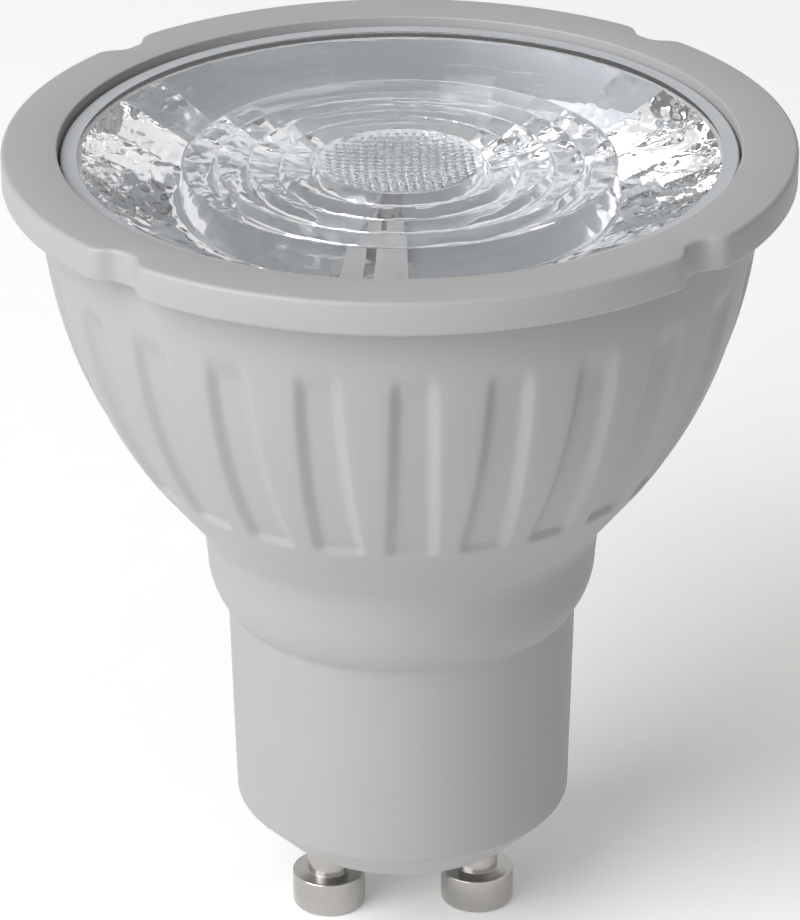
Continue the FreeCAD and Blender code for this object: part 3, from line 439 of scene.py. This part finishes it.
rivet_top = inner_foot + rivet_height
for side, node in ((-1, "contact_pin_left"), (1, "contact_pin_right")):
    pin_mesh = draw_section([
        (0, 0),
        (foot_radius, 0, foot_rounding),
        (foot_radius, foot_height, foot_edge),
        (neck_radius, foot_height, neck_crease),
        (neck_radius, inner_foot),
        (rivet_radius, inner_foot),
        (rivet_radius, rivet_top, rivet_rounding),
        (crimp_radius, rivet_top),
        (crimp_radius, rivet_top + crimp_height, crimp_rounding),
        (crimp_bore, rivet_top + crimp_height),
        (crimp_bore, rivet_top),
        (0, rivet_top),
    ])
    turn_section(pin_mesh, 64)
    bmesh.ops.translate(pin_mesh, verts=pin_mesh.verts[:], vec=(side * pin_offset * MM, 0, 0))
    pin = make_piece(f"{node}_turned", pin_mesh, nickel)
    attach(pin, "root")
    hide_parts(node)


# Pin leads: a coated fusible resistor in the lead of one pin and a plain tinned wire to the other.
# Each is crimped in the hollow end of its pin and soldered to the driver board.
def dress(node, material):
    """Gives a piece of the frame its finish."""
    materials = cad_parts[node].data.materials
    materials.clear()
    materials.append(material)


# Flameproof coat on the resistor: a dull grey-green lacquer with a dusty, uneven skin.
# Tinned copper: drawn wire under a thin bright tin coat that has dulled in patches.
coat = grained_material(
    "flameproof_coat", "#5a6964", "#707d76",
    cloud_mm=1.5, grain_mm=0.15, gloss=(0.45, 0.65), relief_mm=0.004)
tin = grained_material(
    "tinned_copper", "#b4b4b6", "#d0d0d1",
    cloud_mm=1.2, grain_mm=0.2, gloss=(0.2, 0.4), relief_mm=0.003, finish={"Metallic": 1.0})
dress("fusible_resistor", coat)
dress("pin_wire", tin)

# Driver board: glass-epoxy circuit board, stood on the ledges of the housing's two guides.
# Green solder mask over a woven core, whose weave shows as a faint relief about 0.5 mm across.
epoxy = grained_material(
    "green_solder_mask", "#1f5a2c", "#2a6b38",
    cloud_mm=4.0, grain_mm=0.5, gloss=(0.25, 0.4), relief_mm=0.006)
dress("driver_board", epoxy)

# Flat packages on the board: the bridge rectifier and the driver chip, soldered by their legs.
# Filled black epoxy, moulded with a fine matt spark-eroded skin.
filled_epoxy = grained_material(
    "filled_black_epoxy", "#1c1c1e", "#252527",
    cloud_mm=2.0, grain_mm=0.1, gloss=(0.5, 0.7), relief_mm=0.004)
dress("bridge_rectifier", filled_epoxy)
dress("driver_chip", filled_epoxy)

# Electrolytic capacitors: two aluminium cans in a dark shrink sleeve, stood off the board.
# The sleeve is glossy and shrinks into faint waves about a millimetre long.
sleeve = grained_material(
    "shrink_sleeve", "#20232b", "#2b2f39",
    cloud_mm=3.0, grain_mm=1.0, gloss=(0.18, 0.3), relief_mm=0.01, finish={"IOR": 1.53})
dress("input_capacitor", sleeve)
dress("output_capacitor", sleeve)

# Film capacitor: a wound block dipped in red-brown epoxy, so its edges are fat and glossy.
# The dip pools and thins over about 2 mm.
dip = grained_material(
    "dipped_epoxy", "#7a2a18", "#94381f",
    cloud_mm=2.0, grain_mm=0.8, gloss=(0.12, 0.25), relief_mm=0.012, finish={"IOR": 1.55})
dress("film_capacitor", dip)

# Choke: a ferrite drum, glued to the board on end, with enamelled copper wound between its flanges.
# The ferrite is sintered, matt and slightly pitted.
ferrite = grained_material(
    "sintered_ferrite", "#333335", "#404043",
    cloud_mm=2.5, grain_mm=0.12, gloss=(0.55, 0.8), relief_mm=0.008)
dress("choke_core", ferrite)

# Enamelled copper winding: turns of 0.3 mm wire under a clear amber enamel. A wave along the
# drum's axis rounds each turn.
turn_mm = 0.3
copper = new_material("enamelled_copper")
place = add_node(copper, "ShaderNodeTexCoord")
turns = add_node(copper, "ShaderNodeTexWave", {
    "Vector": (place, "Object"), "Scale": math.tau / (turn_mm * MM) / 20, "Distortion": 0.3,
    "Detail": 1.0}, bands_direction="Y")
enamel = add_node(copper, "ShaderNodeMix", {
    0: (turns, "Fac"), 6: linear("#7d3f1c"), 7: linear("#c9793f")}, data_type="RGBA")
relief = add_node(copper, "ShaderNodeBump", {"Height": (turns, "Fac"), "Distance": 0.1 * MM})
shader = add_node(copper, "ShaderNodeBsdfPrincipled", {
    "Base Color": (enamel, 2), "Metallic": 1.0, "Roughness": 0.28, "Normal": (relief, "Normal"),
    "Coat Weight": 0.5})
add_node(copper, "ShaderNodeOutputMaterial", {"Surface": (shader, "BSDF")})
dress("choke_winding", copper)

# Light source wires: two insulated wires from the driver board, up through the bush and back over
# the light source's board. Extruded insulation, one white and one grey, with a faint drag.
wire_tints = {
    "led_wire_white": ("#dededa", "#e9e9e6"),
    "led_wire_grey": ("#a5a5a5", "#b0b0b0"),
}
for node, (dark, light) in wire_tints.items():
    insulation = grained_material(
        f"{node}_insulation", dark, light,
        cloud_mm=3.0, grain_mm=0.25, gloss=(0.25, 0.4), relief_mm=0.003)
    dress(node, insulation)

# Heat sink pan: a deep cup pressed from aluminium sheet, seated on ribs in the bowl. It carries the
# light source and reflects what passes the lens. Satin, with faint draw lines up its wall.
draw_line_mm = 0.25
draw_length_mm = 6.0
aluminium = new_material("pressed_aluminium")
place = add_node(aluminium, "ShaderNodeTexCoord")
stretch = add_node(aluminium, "ShaderNodeMapping", {
    "Vector": (place, "Object"),
    "Scale": (1 / (draw_line_mm * MM), 1 / (draw_line_mm * MM), 1 / (draw_length_mm * MM))})
draw_lines = add_node(aluminium, "ShaderNodeTexNoise", {
    "Vector": (stretch, "Vector"), "Scale": 1.0, "Detail": 2.0})
sheen = add_node(aluminium, "ShaderNodeMapRange", {
    "Value": (draw_lines, "Fac"), "To Min": 0.34, "To Max": 0.44})
sheet = add_node(aluminium, "ShaderNodeMix", {
    0: (draw_lines, "Fac"), 6: linear("#d2d5d8"), 7: linear("#dbdde0")}, data_type="RGBA")
shader = add_node(aluminium, "ShaderNodeBsdfPrincipled", {
    "Base Color": (sheet, 2), "Metallic": 1.0, "Roughness": (sheen, "Result")})
add_node(aluminium, "ShaderNodeOutputMaterial", {"Surface": (shader, "BSDF")})
dress("heat_sink_pan", aluminium)

# Lead bush: a white nylon block pushed into two holes at the front of the pan's floor. It guides
# the light source's wires clear of the metal. Moulded, with a soft satin skin.
nylon = grained_material(
    "moulded_nylon", "#fafaf8", "#ffffff",
    cloud_mm=2.0, grain_mm=0.2, gloss=(0.4, 0.55), relief_mm=0.002, finish={"IOR": 1.53})
dress("lead_bush", nylon)

# Light source board: a round aluminium-cored board under white solder mask, screwed to the pan.
# The mask is a thin glossy lacquer that stands a little proud over the copper tracks.
peel_mm = 0.8
peel_depth_mm = 0.03
mask_white = new_material("white_solder_mask")
place = add_node(mask_white, "ShaderNodeTexCoord")
orange_peel = add_node(mask_white, "ShaderNodeTexNoise", {
    "Vector": (place, "Object"), "Scale": 1 / (peel_mm * MM), "Detail": 2.0})
lacquer = add_node(mask_white, "ShaderNodeMix", {
    0: (orange_peel, "Fac"), 6: linear("#d4d6d7"), 7: linear("#dedfdf")}, data_type="RGBA")
relief = add_node(mask_white, "ShaderNodeBump", {
    "Height": (orange_peel, "Fac"), "Strength": 0.08, "Distance": peel_depth_mm * MM})
shader = add_node(mask_white, "ShaderNodeBsdfPrincipled", {
    "Base Color": (lacquer, 2), "Roughness": 0.35, "Normal": (relief, "Normal")})
add_node(mask_white, "ShaderNodeOutputMaterial", {"Surface": (shader, "BSDF")})
dress("led_board", mask_white)

# Light source: a white ceramic carrier with a raised dam, soldered to the board, and the pale
# phosphor-filled silicone inside the dam. The ceramic is fine and matt, the silicone smooth.
ceramic = grained_material(
    "white_ceramic", "#cfcfcc", "#dadad8",
    cloud_mm=1.5, grain_mm=0.08, gloss=(0.5, 0.65), relief_mm=0.002)
silicone = grained_material(
    "phosphor_silicone", "#c6c3b4", "#d2cfc2",
    cloud_mm=0.8, grain_mm=0.06, gloss=(0.3, 0.4), relief_mm=0.001)
dress("led_package", ceramic)
dress("led_phosphor", silicone)

# Board screws: two zinc-plated pan-head screws through the board into the pan.
# The plate is bright with a slightly cloudy, brushed-looking bloom.
zinc = grained_material(
    "zinc_plate", "#b3b5b8", "#c9cbce",
    cloud_mm=0.7, grain_mm=0.12, gloss=(0.22, 0.4), relief_mm=0.003, finish={"Metallic": 1.0})
dress("board_screws", zinc)

# Lens: one clear optic moulded in acrylic, dropped into the mouth on the rim of the pan. Rings of
# prisms stand under its flat face: their outer slopes are ground into flat facets that mirror the
# light forwards, and the domed centre carries a grid of small bosses that soften the beam.
lens_low, lens_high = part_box("lens")
lens_top = lens_high.z / MM
lens_radius = lens_high.x / MM
lens_edge = 0.1
border_width = 1.02
flange_thickness = 1.5
plate_thickness = 2.6
outer_root_radius = 20.18
outer_tip = lens_low.z / MM
centre_radius = 5.35
centre_sag = 1.2
ring_count = 4
ring_pitch = 2.1
ring_depth = 2.3
ring_draft = 0.2
ring_land = 0.15
ring_edge = 0.25
facet_count = 30
columns_per_facet = 4
root_lean = 0.12
tip_lean = 0.2
boss_pitch = 0.56
boss_height = 0.1
boss_grid = 100
# Painted highlight: the azimuth spans, in degrees, of the white front facets in the first two rings, and a
# clear gap in the first ring.
painted_highlight_edges = [(-108, -90), (-105, -90)]
highlight_gap_angles = (-102, -99)
gate_near = 14
gate_far = 5


def clear_acrylic(name, ripple_mm, ripple_depth_mm):
    """Acrylic bends light as glass of index 1.49 does. Its flow marks fade away from the side gates."""
    material = new_material(name)
    place = add_node(material, "ShaderNodeTexCoord")
    flow = add_node(material, "ShaderNodeTexNoise", {
        "Vector": (place, "Object"), "Scale": 1 / (ripple_mm * MM), "Detail": 1.0})
    sides = add_node(material, "ShaderNodeSeparateXYZ", {"Vector": (place, "Object")})
    reach = add_node(material, "ShaderNodeMath", {0: (sides, "X")}, operation="ABSOLUTE")
    near_gate = add_node(material, "ShaderNodeMapRange", {
        "Value": (reach, "Value"), "From Min": gate_far * MM, "From Max": gate_near * MM})
    marks = add_node(material, "ShaderNodeMath", {
        0: (flow, "Fac"), 1: (near_gate, "Result")}, operation="MULTIPLY")
    relief = add_node(material, "ShaderNodeBump", {
        "Height": (marks, "Value"), "Distance": ripple_depth_mm * MM})
    shader = add_node(material, "ShaderNodeBsdfPrincipled", {
        "Base Color": linear("#fbfcfd"), "Roughness": 0.0, "IOR": 1.49, "Transmission Weight": 1.0,
        "Normal": (relief, "Normal")})
    add_node(material, "ShaderNodeOutputMaterial", {"Surface": (shader, "BSDF")})
    return material


# Polished acrylic on the lens's face and centre, with only the faintest flow marks. The slopes sink
# a little as they cool, so theirs is rippled. The face's border is frosted in the mould. The flange's
# side and underside are etched white. A column of facets at the front is white too: a painted highlight
# that stands in for bright windows of light in the lens.
polished = clear_acrylic("polished_acrylic", ripple_mm=3.0, ripple_depth_mm=0.001)
rippled = clear_acrylic("rippled_acrylic", ripple_mm=1.8, ripple_depth_mm=0.12)
frosted = grained_material(
    "frosted_acrylic", "#aeb2b8", "#b8bcc1",
    cloud_mm=2.0, grain_mm=0.1, gloss=(0.5, 0.6), relief_mm=0.004, finish={"IOR": 1.49})
# Etched white acrylic on the flange's side and underside. The same white on the front column of facets is a
# painted highlight.
etched_and_highlight = grained_material(
    "etched_acrylic_and_painted_highlight", "#fafbfc", "#ffffff",
    cloud_mm=1.5, grain_mm=0.12, gloss=(0.5, 0.6), relief_mm=0.004, finish={"IOR": 1.49})
lens_finishes = [polished, rippled, frosted, etched_and_highlight]

lens_root = lens_top - plate_thickness
lens_bottom = lens_top - flange_thickness
rings_outside = centre_radius + ring_pitch * ring_count
lens_section = [
    (lens_radius - border_width, lens_top),
    (lens_radius - lens_edge, lens_top),
    (lens_radius, lens_top - lens_edge),
    (lens_radius, lens_bottom),
    (outer_root_radius, lens_bottom),
    (rings_outside + ring_draft + ring_edge, outer_tip),
    (rings_outside + ring_draft, outer_tip),
    (rings_outside, lens_root),
]
slope_starts = [lens_section.index((outer_root_radius, lens_bottom))]
for index in reversed(range(ring_count)):
    inside = centre_radius + ring_pitch * index
    slope_starts.append(len(lens_section))
    lens_section += [
        (inside + ring_pitch - ring_land, lens_root),
        (inside + ring_draft + ring_edge, lens_root - ring_depth),
        (inside + ring_draft, lens_root - ring_depth),
        (inside, lens_root),
    ]

# The slopes' two edges are marked before the spin, and drawn in afterwards to flat facets. Each facet
# leans a little from its place, as the mould's hand-ground inserts do.
lens_mesh = draw_section(lens_section)
facet_layer = lens_mesh.verts.layers.int.new("facet")
lens_mesh.verts.ensure_lookup_table()
for ring, start in enumerate(slope_starts):
    lens_mesh.verts[start][facet_layer] = ring * 2 + 1
    lens_mesh.verts[start + 1][facet_layer] = ring * 2 + 2
turn_section(lens_mesh, facet_count * columns_per_facet)
grinder = random.Random(4)
leans = [[grinder.uniform(-1, 1) for _ in range(facet_count)] for _ in slope_starts]
facet_angle = math.tau / facet_count
for point in lens_mesh.verts:
    if point[facet_layer]:
        ring, is_tip = divmod(point[facet_layer] - 1, 2)
        azimuth = math.atan2(point.co.y, point.co.x)
        turn = azimuth / facet_angle + ring % 2 / 2
        facet = round(turn)
        off_centre = (turn - facet) * facet_angle
        lean = leans[ring][facet % facet_count]
        if abs(turn - facet) > 0.49:
            lean = 0
        shrink = math.cos(facet_angle / 2) / math.cos(off_centre)
        shift = tip_lean if is_tip else -root_lean
        radius = math.hypot(point.co.x, point.co.y) * shrink + lean * shift * MM
        point.co.x = radius * math.cos(azimuth)
        point.co.y = radius * math.sin(azimuth)

# The face closes the top, and a grid drawn in to a disc makes the dome and its bosses.
boundary = [edge for edge in lens_mesh.edges if edge.is_boundary]
top_loop = [edge for edge in boundary if edge.verts[0].co.z / MM > lens_top - 0.01]
inner_loop = [edge for edge in boundary if edge not in top_loop]
bmesh.ops.edgeloop_fill(lens_mesh, edges=top_loop)
dome_radius = centre_radius - ring_land
dome_ball = (dome_radius ** 2 + centre_sag ** 2) / (2 * centre_sag)
grid = bmesh.ops.create_grid(lens_mesh, x_segments=boss_grid, y_segments=boss_grid, size=1)
for point in grid["verts"]:
    across, along = point.co.x, point.co.y
    x = across * math.sqrt(1 - along ** 2 / 2) * dome_radius
    y = along * math.sqrt(1 - across ** 2 / 2) * dome_radius
    sag = math.sqrt(dome_ball ** 2 - min(x ** 2 + y ** 2, dome_radius ** 2)) - (dome_ball - centre_sag)
    edge_fade = smooth_step((dome_radius - math.hypot(x, y)) / boss_pitch)
    boss = math.cos(math.pi * x / boss_pitch) ** 2 * math.cos(math.pi * y / boss_pitch) ** 2
    point.co = Vector((x, y, lens_root - sag - boss * boss_height * edge_fade)) * MM
dome_loop = [edge for edge in lens_mesh.edges if edge.is_boundary and edge not in inner_loop]
bmesh.ops.triangle_fill(lens_mesh, use_beauty=True, edges=inner_loop + dome_loop)
bmesh.ops.recalc_face_normals(lens_mesh, faces=lens_mesh.faces[:])
for face in lens_mesh.faces:
    middle = face.calc_center_median() / MM
    azimuth = math.degrees(math.atan2(middle.y, middle.x))
    if all(point[facet_layer] for point in face.verts):
        ring = (face.verts[0][facet_layer] - 1) // 2
        # The white front column of facets is a painted highlight. The rest of the slopes are rippled.
        is_painted_highlight = ring < len(painted_highlight_edges) and painted_highlight_edges[ring][0] < azimuth < painted_highlight_edges[ring][1]
        is_highlight_gap = ring == 0 and highlight_gap_angles[0] < azimuth < highlight_gap_angles[1]
        finish = etched_and_highlight if is_painted_highlight and not is_highlight_gap else rippled
    elif math.hypot(middle.x, middle.y) > outer_root_radius:
        finish = frosted if face.normal.z > 0.5 else etched_and_highlight
    else:
        finish = polished
    face.material_index = lens_finishes.index(finish)
lens = make_piece("lens_optic", lens_mesh, polished, smooth_angle=8)
for finish in lens_finishes[1:]:
    lens.data.materials.append(finish)
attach(lens, "root")
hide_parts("lens")

# Floor: a plain white light table under the pins, far wider than the view. Its own faint glow keeps
# it white beside the bulb, as in a photographer's light tent.
floor_half = 3.0
fibre_mm = 4.0
paper = new_material("white_light_table")
place = add_node(paper, "ShaderNodeTexCoord")
fibres = add_node(paper, "ShaderNodeTexNoise", {
    "Vector": (place, "Object"), "Scale": 1 / (fibre_mm * MM), "Detail": 3.0})
pulp = add_node(paper, "ShaderNodeMix", {
    0: (fibres, "Fac"), 6: linear("#f3f3f3"), 7: linear("#f6f6f6")}, data_type="RGBA")
shader = add_node(paper, "ShaderNodeBsdfPrincipled", {
    "Base Color": (pulp, 2), "Roughness": 0.9, "Specular IOR Level": 0.1,
    "Emission Color": (pulp, 2), "Emission Strength": 0.2})
add_node(paper, "ShaderNodeOutputMaterial", {"Surface": (shader, "BSDF")})
floor_mesh = bmesh.new()
bmesh.ops.create_grid(floor_mesh, x_segments=1, y_segments=1, size=floor_half)
floor = make_piece("floor", floor_mesh, paper)

# Light: a white tent all round that shows in the lens and the metal, a large soft box to the front
# left that models the form, and a broad overhead panel that fills it in.
world = bpy.data.worlds.new("studio")
bpy.context.scene.world = world
world.use_nodes = True
tent = world.node_tree.nodes["Background"]
tent.inputs["Color"].default_value = (1.0, 1.0, 1.0, 1.0)
tent.inputs["Strength"].default_value = 0.8
world.cycles_visibility.diffuse = False
bulb_middle = Vector((0, 0, 30)) * MM


def add_soft_box(name, azimuth, elevation, distance, size, watts):
    """A square soft box that faces the bulb. Azimuth 0 is in front of it, and 90 to its right."""
    turn = math.radians(azimuth)
    rise = math.radians(elevation)
    back = Vector((math.sin(turn) * math.cos(rise), -math.cos(turn) * math.cos(rise), math.sin(rise)))
    light = bpy.data.lights.new(name, "AREA")
    light.size = size
    light.energy = watts
    box = bpy.data.objects.new(name, light)
    box.location = bulb_middle + back * distance
    box.rotation_euler = back.to_track_quat("Z", "Y").to_euler()
    bpy.context.scene.collection.objects.link(box)
    return box


add_soft_box("key_box", azimuth=-50, elevation=35, distance=0.9, size=0.8, watts=10.4)
panel = add_soft_box("overhead_panel", azimuth=0, elevation=90, distance=1.5, size=3.0, watts=18.0)
panel.data.color = linear("#fffbf6")[:3]
panel.visible_glossy = False
panel.visible_transmission = False

# Light caught between the lens's faces needs many turns before it finds its way out.
light_turns = 40
bounces = bpy.context.scene.cycles
bounces.max_bounces = light_turns
bounces.glossy_bounces = light_turns
bounces.transmission_bounces = light_turns

# Camera: a long lens a little above the bulb and slightly to the left, with the slight roll and
# sideways shift that lay the bulb's outline over the photograph's.
camera_data = bpy.data.cameras.new("camera")
camera_data.lens = 188.0
camera_data.sensor_width = 36.0
camera_data.shift_x = -0.0012
camera_turn = -2.1
camera_distance = 279.41 * MM
camera_height = 170.33 * MM
camera_pitch = 26.17
camera_roll = -0.26
camera = bpy.data.objects.new("camera", camera_data)
camera.location = (camera_distance * math.sin(math.radians(camera_turn)),
                   -camera_distance * math.cos(math.radians(camera_turn)), camera_height)
camera.rotation_euler = (
    Matrix.Rotation(math.radians(camera_turn), 3, "Z")
    @ Matrix.Rotation(math.radians(90 - camera_pitch), 3, "X")
    @ Matrix.Rotation(math.radians(camera_roll), 3, "Z")).to_euler()
camera_data.clip_start = 0.01
bpy.context.scene.collection.objects.link(camera)
bpy.context.scene.camera = camera
bpy.context.scene.view_settings.view_transform = "Standard"
